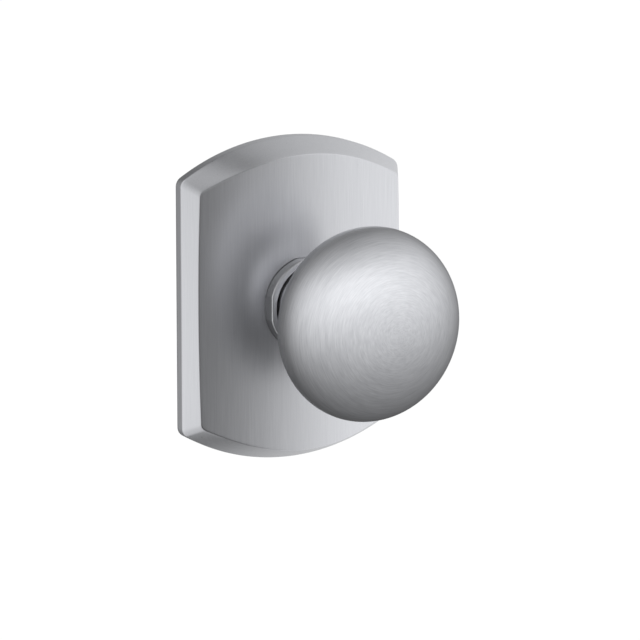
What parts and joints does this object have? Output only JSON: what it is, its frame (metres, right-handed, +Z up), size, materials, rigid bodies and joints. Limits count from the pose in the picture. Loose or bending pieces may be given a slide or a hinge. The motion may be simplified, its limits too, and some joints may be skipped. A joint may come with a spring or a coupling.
{
  "type": "door knob",
  "caption": "Oblate satin metal door knob on a bevelled rectangular rose with arched ends, with its collar, sprung spindle, catch and screw posts.",
  "frame": {"origin": "where the knob's axis crosses the door face", "axes": "+Z up, +Y along the knob's axis into the door, so the room and the knob are on the -Y side"},
  "size_m": [0.0698, 0.1065, 0.092],
  "materials": {
    "satin_face": "satin, brushed and plated",
    "satin_collar": "satin, turned and plated",
    "plated_steel": "zinc plated, clear passivated",
    "zinc_casting": "zinc die casting, as cast",
    "spring_steel": "oiled spring wire",
    "nylon": "natural nylon",
    "brass": "machined brass"
  },
  "bodies": {
    "trim": {"rose": "satin_face", "collar_nut": "satin_collar", "mounting_plate": "plated_steel", "chassis_hub": "zinc_casting", "bearing_bush": "nylon", "spring_can": "plated_steel", "can_rivets": "plated_steel", "left_post": "plated_steel", "right_post": "plated_steel", "rear_bush": "nylon", "return_spring": "spring_steel"},
    "knob": {"knob_front_shell": "satin_face", "knob_rear_shell": "satin_face", "knob_core": "zinc_casting", "spindle_tube": "plated_steel", "thrust_washer": "spring_steel", "front_retaining_ring": "spring_steel", "driver_plate": "plated_steel", "rear_retaining_ring": "spring_steel", "spindle_plug": "zinc_casting", "drive_bar": "plated_steel", "cross_pin": "spring_steel", "catch_spring": "spring_steel"},
    "catch": {"knob_catch": "brass"}
  },
  "joints": [
    {"name": "knob_turn", "type": "hinge", "parent": "trim", "child": "knob", "pos_m": [0, 0, 0], "axis": [0, 1, 0], "range_deg": [-69, 69], "stiffness_Nm_per_rad": 0.3, "deforming": ["return_spring"]},
    {"name": "catch_press", "type": "slide", "parent": "knob", "child": "catch", "axis": [0, 0, 1], "range_m": [0, 0.0022], "stiffness_N_per_m": 400, "springref_m": -0.002, "deforming": ["catch_spring"]}
  ]
}
